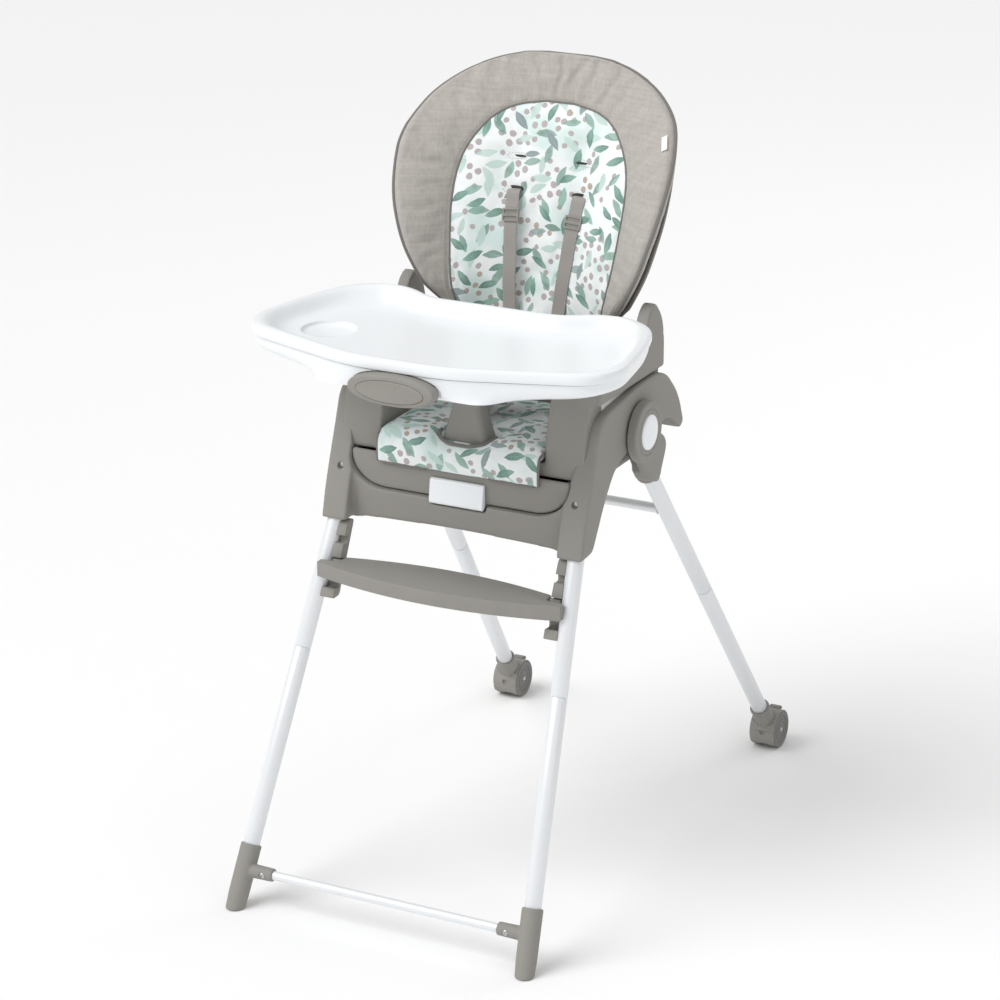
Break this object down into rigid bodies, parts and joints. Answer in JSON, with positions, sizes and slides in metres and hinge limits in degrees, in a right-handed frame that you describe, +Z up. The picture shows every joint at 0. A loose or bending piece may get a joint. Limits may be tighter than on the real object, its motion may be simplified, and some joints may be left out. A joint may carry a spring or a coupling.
{
  "type": "baby high chair",
  "caption": "Folding baby high chair with a reclining padded back, sliding tray with lift-out insert, clip-in footrest, harness and braked rear casters.",
  "frame": {"origin": "on the floor under the middle of the chair", "axes": "+Z up, the child faces -Y, +X to the child's left"},
  "size_m": [0.5182, 0.845, 1.05],
  "materials": {
    "grey_plastic": "satin warm grey",
    "caster_plastic": "matte dark grey",
    "white_plastic": "semi-gloss white",
    "white_enamel": "white powder coat",
    "steel": "plated",
    "patterned_fabric": "woven, printed with leaves and berries",
    "webbing": "ribbed webbing"
  },
  "bodies": {
    "frame": {"front_leg_lower_R": "white_enamel", "front_leg_lower_L": "white_enamel", "front_leg_upper_R": "white_enamel", "front_leg_upper_L": "white_enamel", "front_foot_R": "grey_plastic", "front_foot_L": "grey_plastic", "foot_screw_R": "steel", "foot_screw_L": "steel", "side_housing_R": "grey_plastic", "side_housing_L": "grey_plastic", "housing_screw_R": "steel", "housing_screw_L": "steel", "footrest_bracket_R": "grey_plastic", "footrest_bracket_L": "grey_plastic", "hub_pin_R": "steel", "hub_pin_L": "steel", "front_crossbar": "white_enamel", "front_apron": "grey_plastic"},
    "rear_legs": {"hub_socket_R": "grey_plastic", "hub_socket_L": "grey_plastic", "rear_leg_upper_R": "white_enamel", "rear_leg_upper_L": "white_enamel", "rear_leg_lower_R": "white_enamel", "rear_leg_lower_L": "white_enamel", "caster_body_R": "grey_plastic", "caster_body_L": "grey_plastic", "caster_axle_R": "steel", "caster_axle_L": "steel", "rear_crossbar": "white_enamel"},
    "fold_button_right": {"fold_button_R": "white_plastic"},
    "fold_button_left": {"fold_button_L": "white_plastic"},
    "wheels_right": {"caster_wheel_outer_R": "caster_plastic", "caster_wheel_inner_R": "caster_plastic"},
    "wheels_left": {"caster_wheel_outer_L": "caster_plastic", "caster_wheel_inner_L": "caster_plastic"},
    "brake_right": {"brake_lever_R": "caster_plastic"},
    "brake_left": {"brake_lever_L": "caster_plastic"},
    "footrest": {"footrest_plate": "grey_plastic"},
    "seat": {"seat_pan": "grey_plastic", "seat_shell": "grey_plastic", "crotch_post": "grey_plastic", "seat_pad": "patterned_fabric", "waist_strap_R": "webbing", "waist_strap_L": "webbing", "crotch_strap": "webbing", "buckle": "grey_plastic"},
    "seat_release": {"seat_release_tab": "white_plastic"},
    "back": {"back_shell": "grey_plastic", "back_pad": "patterned_fabric", "shoulder_strap_R": "webbing", "shoulder_strap_L": "webbing", "strap_slider_R": "grey_plastic", "strap_slider_L": "grey_plastic"},
    "recline_lever": {"recline_handle": "grey_plastic"},
    "tray": {"tray_base": "white_plastic"},
    "tray_insert": {"tray_insert": "white_plastic"},
    "tray_release": {"tray_handle": "grey_plastic", "tray_badge": "grey_plastic"}
  },
  "joints": [
    {"name": "rear_leg_fold", "type": "hinge", "parent": "frame", "child": "rear_legs", "pos_m": [0, -0.0372, 0.608], "axis": [-1, 0, 0], "range_deg": [0, 52]},
    {"name": "fold_button_right_press", "type": "slide", "parent": "rear_legs", "child": "fold_button_right", "axis": [-1, 0, 0], "range_m": [0, 0.004], "stiffness_N_per_m": 300},
    {"name": "fold_button_left_press", "type": "slide", "parent": "rear_legs", "child": "fold_button_left", "axis": [1, 0, 0], "range_m": [0, 0.004], "stiffness_N_per_m": 300},
    {"name": "wheel_right_spin", "type": "hinge", "parent": "rear_legs", "child": "wheels_right", "pos_m": [0.2086, 0.3928, 0.0265], "axis": [1, 0, 0], "continuous": true},
    {"name": "wheel_left_spin", "type": "hinge", "parent": "rear_legs", "child": "wheels_left", "pos_m": [-0.2086, 0.3928, 0.0265], "axis": [1, 0, 0], "continuous": true},
    {"name": "brake_right_press", "type": "hinge", "parent": "rear_legs", "child": "brake_right", "pos_m": [0.2086, 0.4093, 0.0512], "axis": [-1, 0, 0], "range_deg": [0, 10]},
    {"name": "brake_left_press", "type": "hinge", "parent": "rear_legs", "child": "brake_left", "pos_m": [-0.2086, 0.4093, 0.0512], "axis": [-1, 0, 0], "range_deg": [0, 10]},
    {"name": "footrest_unclip", "type": "slide", "parent": "frame", "child": "footrest", "axis": [0, -0.9783, 0.207], "range_m": [0, 0.03]},
    {"name": "seat_lift", "type": "slide", "parent": "frame", "child": "seat", "axis": [0, 0, 1], "range_m": [0, 0.1]},
    {"name": "seat_release_pull", "type": "hinge", "parent": "seat", "child": "seat_release", "pos_m": [0, -0.1783, 0.5545], "axis": [-1, 0, 0], "range_deg": [0, 15], "stiffness_Nm_per_rad": 0.1},
    {"name": "back_recline", "type": "hinge", "parent": "seat", "child": "back", "pos_m": [0, 0.0523, 0.612], "axis": [-1, 0, 0], "range_deg": [0, 20]},
    {"name": "recline_lever_lift", "type": "slide", "parent": "back", "child": "recline_lever", "axis": [0, 0.208, 0.9781], "range_m": [0, 0.008], "stiffness_N_per_m": 300},
    {"name": "tray_slide", "type": "slide", "parent": "seat", "child": "tray", "axis": [0, -1, 0], "range_m": [0, 0.05]},
    {"name": "tray_insert_lift", "type": "slide", "parent": "tray", "child": "tray_insert", "axis": [0, 0, 1], "range_m": [0, 0.05]},
    {"name": "tray_release_pull", "type": "slide", "parent": "tray", "child": "tray_release", "axis": [0, -1, 0], "range_m": [0, 0.008], "stiffness_N_per_m": 300}
  ]
}
